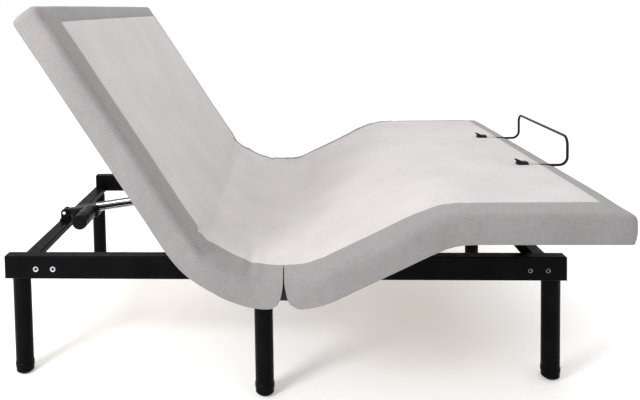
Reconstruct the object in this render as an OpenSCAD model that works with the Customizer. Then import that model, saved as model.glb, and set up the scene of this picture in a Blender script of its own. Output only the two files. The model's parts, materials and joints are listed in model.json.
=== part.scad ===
// Adjustable bed base: a steel frame on six legs carries a padded deck of five hinged sections.
// +X runs from the head to the foot, +Y to the sleeper's left, +Z up, and Z = 0 is the floor.
// It is drawn with its head and its knees raised.

/* [Deck] */
// Width of the deck
deck_w = 1520; // [1200:5:1800]
// Length of the head section, from its hinge to its free end
head_len = 812; // [700:1:950]
// Length of the lumbar strip between the seat and the head section
lumbar_len = 159; // [130:1:200]
// Length of the fixed seat section
seat_len = 169; // [150:1:260]
// Length of the thigh section
thigh_len = 401; // [350:1:480]
// Length of the foot section, from the knee hinge to its free end
foot_len = 489; // [420:1:600]
// Height of the deck's top surface when it lies flat
deck_top = 438; // [400:1:520]
// Depth of the upholstered sides, below the deck's top surface
skirt_depth = 78; // [60:1:90]
// Thickness of the plywood boards
board_t = 15; // [12:0.5:18]
// Thickness of the padding on the boards
pad_t = 11; // [6:0.5:20]
// Thickness of the side panels
panel_t = 18; // [12:1:24]
// Gap between a board's edge and the hinge line
board_gap = 8; // [8:0.5:12]
// Gap between a side panel's end and the knee hinge
knee_gap = 19; // [18:0.5:30]

/* [Angles] */
// Tilt of the head section against the seat
head_angle = 57.5; // [20:0.5:60]
// Tilt of the thigh section against the seat
thigh_angle = 26.2; // [10:0.1:27]

/* [Frame] */
// Length of the side rails, with their end caps
rail_len = 1712; // [1500:1:1900]
// Distance between the outer faces of the side rails
frame_w = 1032; // [900:2:1150]
// Height of a side rail
rail_h = 72; // [60:1:80]
// Thickness of a side rail
rail_t = 40; // [30:1:50]
// Wall of the rails and the other square tubes
tube_wall = 2.5; // [2:0.5:4]
// Width of the end crossmembers
cross_w = 48; // [40:1:60]
// Height of the end crossmembers
cross_h = 22; // [20:1:26]
// Width of the seat crossmembers
seat_cross_w = 30; // [24:1:36]
// Height of the seat crossmembers
seat_cross_h = 25; // [20:1:30]
// Distance from the rails' head end to the hinge between seat and lumbar strip
hip_from_end = 777; // [740:1:820]

/* [Legs] */
// Diameter of a leg
leg_d = 56; // [40:1:60]
// Diameter of the collar near a leg's foot
collar_d = 59; // [44:1:64]
// Height of the collar's lower edge above the floor
collar_z = 23; // [15:1:40]
// Height of the collar
collar_h = 15; // [8:1:20]
// Diameter of the glide under a leg
glide_d = 34; // [25:1:40]
// Height of the glide under a leg
glide_h = 6; // [4:1:15]
// Distance of the corner legs from the bed's centre line
corner_leg_y = 438; // [380:1:445]
// Distance of the head legs from the rails' head end
head_leg_inset = 22; // [20:1:40]
// Distance of the foot legs from the rails' foot end
foot_leg_inset = 18; // [14:1:40]
// Distance of the middle legs from the rails' head end
mid_leg_x = 807; // [700:1:900]
// Gap between a middle leg and the rail beside it
mid_leg_gap = 1; // [0:0.5:6]
// Thickness of the leg plates
leg_plate_t = 5; // [3:0.5:8]
// Diameter of the stud that screws a leg to its plate
stud_d = 10; // [8:1:12]
// Diameter of the frame bolts' heads
bolt_head_d = 18; // [12:1:22]

/* [Head lift] */
// Distance of the head lift tube from the hip hinge, towards the head
head_lift_x = 128; // [110:1:150]
// Height of the head lift tube's axis
head_lift_z = 376; // [370:1:384]
// Length of the head lift arms, from the tube's axis to the wheel's
head_arm_len = 280; // [240:1:320]
// Rise of the head lift arms as drawn
head_arm_angle = 118.5; // [90:0.25:120]
// Length of the head lift lever
head_lever_len = 110; // [90:1:120]
// Direction of the head lift lever as drawn
head_lever_angle = 110; // [100:1:120]
// Distance between the head lift arms
head_arm_span = 500; // [300:10:700]
// Height of the head actuator's rear pin
head_pin_z = 392; // [385:1:394]

/* [Leg lift] */
// Distance of the leg lift tube from the thigh hinge, towards the foot
leg_lift_x = 43; // [40:1:60]
// Height of the leg lift tube's axis
leg_lift_z = 370; // [366:1:376]
// Length of the leg lift arms
leg_arm_len = 260; // [220:1:280]
// Rise of the leg lift arms as drawn
leg_arm_angle = 33.1; // [20:0.1:33.3]
// Length of the leg lift lever
leg_lever_len = 80; // [70:1:90]
// Direction of the leg lift lever as drawn
leg_lever_angle = 45; // [40:1:50]
// Distance between the leg lift arms
leg_arm_span = 460; // [300:10:700]
// Height of the foot actuator's rear pin
foot_pin_z = 392; // [385:1:394]

/* [Foot support] */
// Distance of the support arms' pivot from the rails' foot end
support_inset = 78; // [60:1:120]
// Height of the support arms' pivot
support_z = 378; // [370:1:385]
// Distance of the support wheels from the knee hinge, towards the foot
support_reach = 174; // [140:1:190]
// Gap between the support wheels and the foot board
support_gap = 8; // [7:0.5:14]

/* [Lift parts] */
// Diameter of the lift tubes
lift_tube_d = 40; // [32:1:44]
// Diameter of the spigots on the lift tubes' ends
spigot_d = 24; // [16:1:28]
// Thickness of the arms and levers
arm_t = 8; // [6:1:10]
// Height of the arms and levers
arm_h = 28; // [24:1:32]
// Diameter of the lift wheels
wheel_d = 47.4; // [40:0.1:47.4]
// Diameter of the foot support wheels
small_wheel_d = 39; // [30:1:40]
// Width of the wheels
wheel_w = 20; // [12:1:26]
// Diameter of the wheels' axles and the actuators' pins
pin_d = 12; // [8:1:14]
// Gap around a pin that turns in its bore
fit_gap = 0.05; // [0.02:0.01:0.1]
// Thickness of the wheel tracks under the boards
track_t = 3; // [2:0.5:4]

/* [Actuators] */
// Diameter of the motors
motor_d = 52; // [44:1:54]
// Length of the motors
motor_len = 118; // [90:1:160]
// Diameter of the actuators' outer tubes
drive_tube_d = 30; // [26:1:32]
// Diameter of the actuators' rods
rod_d = 20; // [14:1:22]
// Length of the head actuator's rod outside its tube, up to the lever's pin
head_rod_out = 177; // [150:1:210]
// Length of the foot actuator's rod outside its tube, up to the lever's pin
foot_rod_out = 126; // [90:1:160]
// Thickness of the actuators' eyes
eye_t = 22; // [16:1:26]

/* [Mattress retainer] */
// Distance between the retainer bar's uprights
bar_span = 466; // [300:2:700]
// Height of the retainer bar above the deck
bar_rise = 95; // [60:1:160]
// Diameter of the retainer bar
bar_d = 9; // [6:0.5:12]
// Distance of the retainer bar from the deck's foot end
bar_out = 28; // [5:0.5:40]
// Reach of the retainer bar over the deck
bar_reach = 146; // [90:1:200]
// Radius of the retainer bar's bends
bar_bend = 28; // [12:1:36]

/* [Hidden] */
$fn = 48;
tiny_gap = 1;

// Heights
hinge_z = deck_top - pad_t - board_t / 2;
deck_gap = 1;
deck_under = hinge_z - board_t / 2;
rail_top = deck_under - deck_gap;
rail_bottom = rail_top - rail_h;
panel_drop = skirt_depth - pad_t - board_t / 2;

// Places along the bed, measured from the middle of the rails
rail_head_x = -rail_len / 2;
rail_foot_x = rail_len / 2;
hip_x = rail_head_x + hip_from_end;
thigh_x = hip_x + seat_len;
fold = head_angle / 2;
head_cross_x = rail_head_x + cross_w / 2;
foot_cross_x = rail_foot_x - cross_w / 2;
head_leg_x = rail_head_x + head_leg_inset;
foot_leg_x = rail_foot_x - foot_leg_inset;
head_tube_x = hip_x - head_lift_x;
leg_tube_x = thigh_x + leg_lift_x;
support_x = rail_foot_x - support_inset;
knee_x = thigh_x + thigh_len * cos(thigh_angle);
foot_end_x = knee_x + foot_len;

// The origin is under the middle of the whole object as drawn
mid_x = (head_leg_x - collar_d / 2 + foot_end_x + bar_out + bar_d) / 2;

// Places across the bed
rail_in = frame_w / 2 - rail_t;
board_half = deck_w / 2 - panel_t;
mid_leg_y = frame_w / 2 + mid_leg_gap + leg_d / 2;
bearing_t = 8;
bearing_w = 52;
bearing_h = 48;
hinge_w = 90;
hinge_clear = 30;
hinge_side_y = frame_w / 2 + hinge_w / 2 + hinge_clear;
hinge_ys = [-hinge_side_y, 0, hinge_side_y];

// The support arms' pivots and their wheels, which run under the foot board
support_pivot = [support_x, support_z];
support_wheel = [knee_x + support_reach,
                 hinge_z + thigh_len * sin(thigh_angle) - board_t / 2 - support_gap - small_wheel_d / 2];
support_len = norm(support_wheel - support_pivot);
support_angle = atan2(support_wheel[1] - support_pivot[1], support_pivot[0] - support_wheel[0]);

// Actuator pins and their levers' free ends
pin_shift = 3;
head_pin = [head_cross_x - pin_shift, head_pin_z];
foot_pin = [foot_cross_x + pin_shift, foot_pin_z];
head_lever_end = [head_tube_x + head_lever_len * cos(head_lever_angle),
                  head_lift_z + head_lever_len * sin(head_lever_angle)];
leg_lever_end = [leg_tube_x + leg_lever_len * cos(leg_lever_angle),
                 leg_lift_z + leg_lever_len * sin(leg_lever_angle)];
head_drive_len = norm(head_lever_end - head_pin);
foot_drive_len = norm(leg_lever_end - foot_pin);
head_tube_reach = head_drive_len - head_rod_out;
foot_tube_reach = foot_drive_len - foot_rod_out;
head_drive_tilt = atan2(head_lever_end[1] - head_pin[1], head_lever_end[0] - head_pin[0]);
foot_drive_tilt = atan2(leg_lever_end[1] - foot_pin[1], foot_pin[0] - leg_lever_end[0]);

module bed() { translate([-mid_x, 0, 0]) children(); }
module both_sides() {
    children();
    mirror([0, 1, 0]) children();
}

// A section's own frame: its hinge axis is at the origin, and the board's mid-plane at z = 0
module on_seat() { bed() translate([hip_x, 0, hinge_z]) children(); }
module on_lumbar() { on_seat() rotate([0, fold, 0]) children(); }
module on_head() { on_lumbar() translate([-lumbar_len, 0, 0]) rotate([0, fold, 0]) children(); }
module on_thigh() {
    bed() translate([thigh_x, 0, hinge_z]) rotate([0, -thigh_angle, 0]) children();
}
module on_foot() {
    on_thigh() translate([thigh_len, 0, 0]) rotate([0, thigh_angle, 0]) children();
}

// A cylinder along Y between two places
module rod_y(d, y0, y1) { translate([0, y0, 0]) rotate([-90, 0, 0]) cylinder(d = d, h = y1 - y0); }
module box(x0, x1, y0, y1, z0, z1) {
    translate([x0, y0, z0]) cube([x1 - x0, y1 - y0, z1 - z0]);
}
// A rectangular tube along X, centred on y and z = 0
module tube_x(length, w, h) {
    difference() {
        translate([0, -w / 2, -h / 2]) cube([length, w, h]);
        translate([-1, tube_wall - w / 2, tube_wall - h / 2])
            cube([length + 2, w - 2 * tube_wall, h - 2 * tube_wall]);
    }
}
// A rectangular tube along Y, centred on every axis
module tube_y(length, w, h) {
    difference() {
        cube([w, length, h], center = true);
        cube([w - 2 * tube_wall, length + 2, h - 2 * tube_wall], center = true);
    }
}

// ---- frame
cap_t = 4;
module side_rail(side) {
    bed() translate([rail_head_x + cap_t, side * (frame_w - rail_t) / 2, rail_top - rail_h / 2])
        tube_x(rail_len - 2 * cap_t, rail_t, rail_h);
}
module side_rail_right() { color("#17171a") side_rail(-1); }
module side_rail_left() { color("#17171a") side_rail(1); }

module end_cap() {
    plug = 14;
    slack = 0.3;
    translate([0, -rail_t / 2, -rail_h / 2]) cube([cap_t, rail_t, rail_h]);
    translate([cap_t, tube_wall + slack - rail_t / 2, tube_wall + slack - rail_h / 2])
        cube([plug, rail_t - 2 * (tube_wall + slack), rail_h - 2 * (tube_wall + slack)]);
}
module rail_end_caps() {
    color("#202024") bed() both_sides()
        translate([0, (frame_w - rail_t) / 2, rail_top - rail_h / 2]) {
            translate([rail_head_x, 0, 0]) end_cap();
            translate([rail_foot_x, 0, 0]) mirror([1, 0, 0]) end_cap();
        }
}

module crossmember(x) {
    bed() translate([x, 0, rail_bottom + cross_h / 2]) tube_y(2 * rail_in, cross_w, cross_h);
}
module head_crossmember() { color("#1a1a1d") crossmember(head_cross_x); }
module foot_crossmember() { color("#1a1a1d") crossmember(foot_cross_x); }

leaf_reach = 46;
leaf_clear = 4;
seat_cross_inset = leaf_reach + leaf_clear + seat_cross_w / 2;
module seat_crossmembers() {
    color("#1a1a1d") bed()
        for (x = [hip_x + seat_cross_inset, thigh_x - seat_cross_inset])
            translate([x, 0, deck_under - seat_cross_h / 2])
                tube_y(2 * rail_in, seat_cross_w, seat_cross_h);
}

// ---- legs
leg_plate_w = 70;
leg_plate_l = 36;
module stud_hole(length) { translate([0, 0, -1]) cylinder(d = stud_d + 2 * fit_gap, h = length); }
module corner_leg_plates() {
    color("#1a1a1d") bed() both_sides()
        for (x = [head_leg_x, foot_leg_x])
            translate([x, corner_leg_y, rail_bottom - leg_plate_t]) difference() {
                box(-leg_plate_l / 2, leg_plate_l / 2, -leg_plate_w / 2, leg_plate_w / 2, 0,
                    leg_plate_t);
                stud_hole(leg_plate_t + 2);
            }
}

bracket_h = 60;
bracket_len = 90;
module middle_leg_brackets() {
    shelf_w = leg_d + mid_leg_gap;
    color("#1a1a1d") bed() both_sides()
        translate([rail_head_x + mid_leg_x, frame_w / 2, rail_bottom - leg_plate_t]) {
            difference() {
                translate([-bracket_len / 2, -rail_t, 0])
                    cube([bracket_len, rail_t + shelf_w, leg_plate_t]);
                translate([0, mid_leg_y - frame_w / 2, 0]) stud_hole(leg_plate_t + 2);
            }
            translate([-bracket_len / 2, 0, leg_plate_t]) cube([bracket_len, leg_plate_t, bracket_h]);
        }
}

// A round leg under a plate, with its stud standing up into the plate
module leg(x, y) {
    top = rail_bottom - leg_plate_t;
    bed() translate([x, y, 0]) {
        translate([0, 0, glide_h]) cylinder(d = leg_d, h = top - glide_h);
        translate([0, 0, collar_z]) cylinder(d = collar_d, h = collar_h);
        translate([0, 0, top]) cylinder(d = stud_d, h = leg_plate_t);
    }
}
module leg_head_right() { color("#0c0c0e") leg(head_leg_x, -corner_leg_y); }
module leg_head_left() { color("#0c0c0e") leg(head_leg_x, corner_leg_y); }
module leg_middle_right() { color("#0c0c0e") leg(rail_head_x + mid_leg_x, -mid_leg_y); }
module leg_middle_left() { color("#0c0c0e") leg(rail_head_x + mid_leg_x, mid_leg_y); }
module leg_foot_right() { color("#0c0c0e") leg(foot_leg_x, -corner_leg_y); }
module leg_foot_left() { color("#0c0c0e") leg(foot_leg_x, corner_leg_y); }

leg_places = [[head_leg_x, corner_leg_y], [rail_head_x + mid_leg_x, mid_leg_y],
              [foot_leg_x, corner_leg_y]];
module leg_glides() {
    color("#2b2b2d") bed() both_sides()
        for (p = leg_places) translate([p[0], p[1], 0]) cylinder(d = glide_d, h = glide_h);
}

head_bolt_xs = [100, 154];
foot_bolt_xs = [57, 109];
bolt_drop = 40;
bolt_head_h = 4;
module frame_bolt() {
    socket_d = 7;
    rotate([90, 0, 0]) difference() {
        cylinder(d1 = bolt_head_d, d2 = 0.8 * bolt_head_d, h = bolt_head_h);
        translate([0, 0, bolt_head_h / 2]) cylinder(d = socket_d, h = bolt_head_h, $fn = 6);
    }
}
module frame_bolts() {
    xs = concat([for (d = head_bolt_xs) rail_head_x + d],
                [for (d = foot_bolt_xs) rail_foot_x - d]);
    color("#b9bbbf") bed() for (x = xs, side = [0, 1]) mirror([0, side, 0])
        translate([x, -frame_w / 2, rail_top - bolt_drop]) frame_bolt();
}

// ---- hinges: two outer knuckles on the fixed leaf, one in the middle on the moving leaf
knuckle_d = 14;
hinge_pin_d = 8;
leaf_t = 2.5;
leaf_start = 7;
web_start = 2.5;
knuckle_len = 29.5;
module knuckle(y0, y1) {
    rod_y(knuckle_d, y0, y1);
    translate([web_start, y0, -board_t / 2 - leaf_t])
        cube([leaf_start + 1 - web_start, y1 - y0, board_t / 2 + leaf_t]);
}
// A leaf lies under a board, on the +x side of its hinge axis
module leaf(outer) {
    edge = hinge_w / 2;
    difference() {
        union() {
            translate([leaf_start, -edge, -board_t / 2 - leaf_t])
                cube([leaf_reach - leaf_start, hinge_w, leaf_t]);
            if (outer) {
                knuckle(-edge, knuckle_len - edge);
                knuckle(edge - knuckle_len, edge);
            } else {
                knuckle(knuckle_len + tiny_gap / 2 - edge, edge - knuckle_len - tiny_gap / 2);
            }
        }
        rod_y(hinge_pin_d + 2 * fit_gap, -edge - 1, edge + 1);
    }
}
module leaf_row(outer) { for (y = hinge_ys) translate([0, y, 0]) leaf(outer); }
module pin_row() {
    for (y = hinge_ys) translate([0, y, 0]) rod_y(hinge_pin_d, -hinge_w / 2, hinge_w / 2);
}
module seat_hinge_leaves() {
    color("#8c8e92") on_seat() {
        leaf_row(true);
        translate([seat_len, 0, 0]) mirror([1, 0, 0]) leaf_row(true);
    }
}
module seat_hinge_pins() {
    color("#a9abb0") on_seat() {
        pin_row();
        translate([seat_len, 0, 0]) pin_row();
    }
}
module lumbar_hinge_leaves() {
    color("#8c8e92") on_lumbar() {
        mirror([1, 0, 0]) leaf_row(false);
        translate([-lumbar_len, 0, 0]) leaf_row(true);
    }
}
module head_hinge_pins() { color("#a9abb0") on_lumbar() translate([-lumbar_len, 0, 0]) pin_row(); }
module head_hinge_leaves() { color("#8c8e92") on_head() mirror([1, 0, 0]) leaf_row(false); }
module thigh_hinge_leaves() {
    color("#8c8e92") on_thigh() {
        leaf_row(false);
        translate([thigh_len, 0, 0]) mirror([1, 0, 0]) leaf_row(true);
    }
}
module knee_hinge_pins() { color("#a9abb0") on_thigh() translate([thigh_len, 0, 0]) pin_row(); }
module foot_hinge_leaves() { color("#8c8e92") on_foot() leaf_row(false); }

// ---- deck sections
module board(x0, x1) { box(x0, x1, -board_half, board_half, -board_t / 2, board_t / 2); }
module pad(x0, x1) { box(x0, x1, -deck_w / 2, deck_w / 2, board_t / 2, board_t / 2 + pad_t); }
module side_panels(x0, x1) {
    both_sides() box(x0, x1, board_half, deck_w / 2, -panel_drop, board_t / 2);
}
module seat_board() {
    color("#b98f5d") on_seat() board(board_gap, seat_len - board_gap);
}
module seat_pad() { color("#cfcac7") on_seat() pad(board_gap, seat_len - board_gap); }
module seat_side_panels() {
    color("#9a9694") on_seat() side_panels(board_gap, seat_len - board_gap);
}
module lumbar_board() { color("#b98f5d") on_lumbar() board(board_gap - lumbar_len, -board_gap); }
module lumbar_pad() { color("#cfcac7") on_lumbar() pad(board_gap - lumbar_len, -board_gap); }

module head_board() { color("#b98f5d") on_head() board(panel_t - head_len, -board_gap); }
module head_pad() { color("#cfcac7") on_head() pad(-head_len, -board_gap); }
module head_side_panels() { color("#9a9694") on_head() side_panels(-head_len, -board_gap); }
module head_end_panel() {
    color("#9a9694") on_head()
        box(-head_len, panel_t - head_len, -board_half, board_half, -panel_drop, board_t / 2);
}
module thigh_board() { color("#b98f5d") on_thigh() board(board_gap, thigh_len - board_gap); }
module thigh_pad() { color("#cfcac7") on_thigh() pad(board_gap, thigh_len - board_gap); }
module thigh_side_panels() {
    color("#9a9694") on_thigh() side_panels(board_gap, thigh_len - knee_gap);
}
module foot_board() { color("#b98f5d") on_foot() board(board_gap, foot_len - panel_t); }
module foot_pad() { color("#cfcac7") on_foot() pad(board_gap, foot_len); }
module foot_side_panels() { color("#9a9694") on_foot() side_panels(knee_gap, foot_len); }
module foot_end_panel() {
    color("#9a9694") on_foot()
        box(foot_len - panel_t, foot_len, -board_half, board_half, -panel_drop, board_t / 2);
}

// ---- lift tubes and their arms
wheel_gap = 2;
wheel_y = arm_t / 2 + wheel_gap + wheel_w / 2;
// A flat bar with round ends from the origin to a place at a distance and an angle
module link(length, angle, y0, y1, h) {
    rotate([0, -angle, 0]) {
        translate([0, y0, -h / 2]) cube([length, y1 - y0, h]);
        rod_y(h, y0, y1);
        translate([length, 0, 0]) rod_y(h, y0, y1);
    }
}
lever_in = eye_t / 2 + 2;
boss_d = 18;
boss_len = 6;
axle_end = 3;
side_play = 2;
module lift_frame(arm_len, arm_angle, span, lever_len, lever_angle) {
    tube_end = rail_in - bearing_t - side_play;
    spigot_end = rail_in - tiny_gap;
    rod_y(lift_tube_d, -tube_end, tube_end);
    rod_y(spigot_d, -spigot_end, spigot_end);
    both_sides() {
        translate([0, span / 2, 0]) {
            link(arm_len, arm_angle, -arm_t / 2, arm_t / 2, arm_h);
            rotate([0, -arm_angle, 0]) translate([arm_len, 0, 0])
                rod_y(pin_d, 0, wheel_y + wheel_w / 2 + axle_end);
        }
        link(lever_len, lever_angle, lever_in, lever_in + arm_t, arm_h);
        rotate([0, -lever_angle, 0]) translate([lever_len, 0, 0])
            rod_y(boss_d, lever_in + arm_t, lever_in + arm_t + boss_len);
    }
}
module wheel(d) {
    difference() {
        rod_y(d, -wheel_w / 2, wheel_w / 2);
        rod_y(pin_d + 2 * fit_gap, -wheel_w / 2 - 1, wheel_w / 2 + 1);
    }
}
module lift_wheels(arm_len, arm_angle, span) {
    rotate([0, -arm_angle, 0]) translate([arm_len, 0, 0])
        both_sides() translate([0, span / 2 + wheel_y, 0]) wheel(wheel_d);
}
module at_head_lift() { bed() translate([head_tube_x, 0, head_lift_z]) children(); }
module at_leg_lift() { bed() translate([leg_tube_x, 0, leg_lift_z]) children(); }
module head_lift_frame() {
    color("#1a1a1d") at_head_lift()
        lift_frame(head_arm_len, head_arm_angle, head_arm_span, head_lever_len, head_lever_angle);
}
module head_lift_wheels() {
    color("#d8d8d4") at_head_lift() lift_wheels(head_arm_len, head_arm_angle, head_arm_span);
}
module leg_lift_frame() {
    color("#1a1a1d") at_leg_lift()
        lift_frame(leg_arm_len, leg_arm_angle, leg_arm_span, leg_lever_len, leg_lever_angle);
}
module leg_lift_wheels() {
    color("#d8d8d4") at_leg_lift() lift_wheels(leg_arm_len, leg_arm_angle, leg_arm_span);
}
track_w = 36;
track_start = 60;
track_end = 390;
module head_wheel_tracks() {
    color("#8c8e92") on_head() both_sides()
        translate([-track_end, head_arm_span / 2 + wheel_y - track_w / 2, -board_t / 2 - track_t])
            cube([track_end - track_start, track_w, track_t]);
}

module bearing_plate() {
    difference() {
        box(-bearing_w / 2, bearing_w / 2, rail_in - bearing_t, rail_in, -bearing_h / 2, bearing_h / 2);
        rod_y(spigot_d + 2 * fit_gap, rail_in - bearing_t - 1, rail_in + 1);
    }
}
module lift_tube_bearings() {
    color("#1a1a1d") both_sides() {
        at_head_lift() bearing_plate();
        at_leg_lift() bearing_plate();
    }
}

// ---- foot support arms
support_y = rail_in - 16;
support_pin_d = 16;
pin_end = 3;
module at_support() { bed() translate([support_x, 0, support_z]) children(); }
module support_arm_brackets() {
    plate_t = 6;
    plate_half_w = 26;
    plate_half_h = 28;
    color("#1a1a1d") at_support() both_sides() {
        box(-plate_half_w, plate_half_w, rail_in - plate_t, rail_in, -plate_half_h, plate_half_h);
        rod_y(support_pin_d, support_y - arm_t / 2 - pin_end, rail_in - plate_t);
    }
}
module foot_support_arms() {
    wheel_out = support_y - arm_t / 2 - wheel_gap;
    color("#1a1a1d") at_support() both_sides() difference() {
        union() {
            translate([0, support_y, 0])
                link(support_len, 180 - support_angle, -arm_t / 2, arm_t / 2, arm_h);
            rotate([0, support_angle - 180, 0]) translate([support_len, 0, 0]) {
                rod_y(pin_d, wheel_out - wheel_w - wheel_gap, support_y);
                rod_y(small_wheel_d, wheel_out - wheel_w, wheel_out);
            }
        }
        rod_y(support_pin_d + 2 * fit_gap, support_y - arm_t, support_y + arm_t);
    }
}

// ---- actuators: a geared motor, a tube and a sliding rod
ear_t = 6;
ear_in = eye_t / 2 + tiny_gap;
gear_start = 34;
gear_len = 100;
gear_up = 12;
gear_down = 32;
gear_half_w = 30;
motor_at = 100;
motor_drop = 10;
eye_d = 30;
ear_w = 28;
clevis_base_w = 40;
clevis_base_t = 5;
module clevis(pin) {
    seat_top = rail_bottom + cross_h;
    ear_out = ear_in + ear_t;
    base_top = seat_top + clevis_base_t;
    translate([pin[0], 0, 0]) {
        box(-clevis_base_w / 2, clevis_base_w / 2, -ear_out, ear_out, seat_top, base_top);
        both_sides() difference() {
            union() {
                box(-ear_w / 2, ear_w / 2, ear_in, ear_out, base_top, pin[1]);
                translate([0, 0, pin[1]]) rod_y(ear_w, ear_in, ear_out);
            }
            translate([0, 0, pin[1]])
                rod_y(pin_d + 2 * fit_gap, ear_in - 1, ear_in + ear_t + 1);
        }
    }
}
module actuator_clevises() {
    color("#222225") bed() {
        clevis(head_pin);
        clevis(foot_pin);
    }
}
module actuator_rear_pins() {
    head_h = 4;
    pin_half = ear_in + ear_t + head_h;
    color("#d5d7da") bed() for (p = [head_pin, foot_pin])
        translate([p[0], 0, p[1]]) rod_y(pin_d, -pin_half, pin_half);
}
// An actuator lies along +x from its rear pin
module drive_housing(reach) {
    rear_eye_d = 26;
    neck_half = 11;
    ring_len = 18;
    difference() {
        union() {
            rod_y(rear_eye_d, -eye_t / 2, eye_t / 2);
            box(0, gear_start + 1, -eye_t / 2, eye_t / 2, -neck_half, neck_half);
            box(gear_start, gear_start + gear_len, -gear_half_w, gear_half_w, -gear_down, gear_up);
            translate([gear_start, 0, 0]) rotate([0, 90, 0])
                cylinder(d = drive_tube_d, h = reach - gear_start);
            translate([reach - ring_len, 0, 0]) rotate([0, 90, 0])
                cylinder(d = drive_tube_d + 2, h = ring_len);
        }
        rod_y(pin_d + 2 * fit_gap, -eye_t, eye_t);
        translate([gear_start + gear_len, 0, 0]) rotate([0, 90, 0])
            cylinder(d = rod_d + 1, h = reach);
    }
}
module drive_motor() {
    lid_d = motor_d - 8;
    lid_t = 4;
    motor_end = -gear_half_w - motor_len;
    translate([motor_at, 0, -motor_drop]) {
        rod_y(motor_d, motor_end, -gear_half_w);
        rod_y(lid_d, motor_end - lid_t, motor_end);
    }
}
module drive_rod(length, reach) {
    inside = 90;
    weld = 3;
    translate([reach - inside, 0, 0]) rotate([0, 90, 0])
        cylinder(d = rod_d, h = length - reach + inside - eye_d / 2 + weld);
    translate([length, 0, 0]) difference() {
        rod_y(eye_d, -eye_t / 2, eye_t / 2);
        rod_y(pin_d + 2 * fit_gap, -eye_t, eye_t);
    }
}
module on_head_drive() {
    bed() translate([head_pin[0], 0, head_pin[1]]) rotate([0, -head_drive_tilt, 0]) children();
}
module on_foot_drive() {
    bed() translate([foot_pin[0], 0, foot_pin[1]]) rotate([0, foot_drive_tilt, 0])
        mirror([1, 0, 0]) children();
}
module head_motor() { color("#141416") on_head_drive() drive_motor(); }
module head_drive_housing() { color("#c9cbce") on_head_drive() drive_housing(head_tube_reach); }
module head_drive_rod() {
    color("#dfe1e4") on_head_drive() drive_rod(head_drive_len, head_tube_reach);
}
module foot_motor() { color("#141416") on_foot_drive() drive_motor(); }
module foot_drive_housing() { color("#c9cbce") on_foot_drive() drive_housing(foot_tube_reach); }
module foot_drive_rod() {
    color("#dfe1e4") on_foot_drive() drive_rod(foot_drive_len, foot_tube_reach);
}

// ---- electrics under the seat
box_inset = 12;
socket_d = 12;
socket_deep = 8;
module socket(y, z) {
    translate([-1, y, z]) rotate([0, 90, 0]) cylinder(d = socket_d, h = socket_deep + 1);
}
module under_seat(y, h) { translate([hip_x + box_inset, y, deck_under - seat_cross_h - h]) children(); }
module control_box() {
    box_y = 140;
    box_w = 170;
    box_h = 40;
    socket_step = 30;
    color("#26262a") bed() under_seat(box_y, box_h) difference() {
        cube([seat_len - 2 * box_inset, box_w, box_h]);
        for (i = [-2:2]) socket(box_w / 2 + i * socket_step, box_h / 2);
    }
}
module power_supply() {
    box_y = -300;
    box_w = 150;
    box_h = 36;
    color("#26262a") bed() under_seat(box_y, box_h) difference() {
        cube([seat_len - 2 * box_inset, box_w, box_h]);
        socket(box_w / 2, box_h / 2);
    }
}

// ---- mattress retainer: one bent bar that stands on the foot end, held by two clips
module bar_bend_piece() {
    rotate_extrude(angle = 90) translate([bar_bend, 0]) circle(d = bar_d);
}
// The bar's axis over the board's mid-plane, and its uprights' place beyond the foot end
bar_over = board_t / 2 + pad_t + bar_d / 2 + tiny_gap;
bar_end_x = foot_len + bar_out + bar_d / 2;
module retainer_bar() {
    half = bar_span / 2;
    color("#121214") on_foot() {
        both_sides() {
            translate([bar_end_x - bar_reach, half, bar_over]) rotate([0, 90, 0])
                cylinder(d = bar_d, h = bar_reach - bar_bend);
            translate([bar_end_x - bar_bend, half, bar_over + bar_bend]) rotate([90, 90, 0])
                bar_bend_piece();
            translate([bar_end_x, half, bar_over + bar_bend])
                cylinder(d = bar_d, h = bar_rise - 2 * bar_bend);
            translate([bar_end_x, half - bar_bend, bar_over + bar_rise - bar_bend])
                rotate([90, 0, 90]) bar_bend_piece();
        }
        translate([bar_end_x, 0, bar_over + bar_rise]) rod_y(bar_d, bar_bend - half, half - bar_bend);
    }
}
module retainer_clips() {
    clip_len = 40;
    clip_w = 30;
    plate_t = 3;
    cover_half_w = 9;
    cover_t = 3;
    cover_short = 6;
    base_z = board_t / 2 + pad_t;
    color("#151518") on_foot() both_sides()
        translate([bar_end_x - bar_reach, bar_span / 2, 0]) difference() {
            union() {
                box(-clip_len / 2, clip_len / 2, -clip_w / 2, clip_w / 2, base_z, base_z + plate_t);
                box(-clip_len / 2, clip_len / 2 - cover_short, -cover_half_w, cover_half_w,
                    base_z + plate_t, bar_over + bar_d / 2 + cover_t);
            }
            translate([0, 0, bar_over]) rotate([0, 90, 0])
                cylinder(d = bar_d + 2 * fit_gap, h = clip_len);
        }
}

side_rail_right();
side_rail_left();
rail_end_caps();
head_crossmember();
foot_crossmember();
seat_crossmembers();
corner_leg_plates();
middle_leg_brackets();
leg_head_right();
leg_head_left();
leg_middle_right();
leg_middle_left();
leg_foot_right();
leg_foot_left();
leg_glides();
frame_bolts();
seat_board();
seat_pad();
seat_side_panels();
seat_hinge_leaves();
seat_hinge_pins();
lift_tube_bearings();
support_arm_brackets();
actuator_clevises();
actuator_rear_pins();
control_box();
power_supply();
lumbar_board();
lumbar_pad();
lumbar_hinge_leaves();
head_hinge_pins();
head_board();
head_pad();
head_side_panels();
head_end_panel();
head_hinge_leaves();
head_wheel_tracks();
head_lift_frame();
head_lift_wheels();
head_motor();
head_drive_housing();
head_drive_rod();
thigh_board();
thigh_pad();
thigh_side_panels();
thigh_hinge_leaves();
knee_hinge_pins();
foot_board();
foot_pad();
foot_side_panels();
foot_end_panel();
foot_hinge_leaves();
retainer_bar();
retainer_clips();
leg_lift_frame();
leg_lift_wheels();
foot_motor();
foot_drive_housing();
foot_drive_rod();
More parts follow.
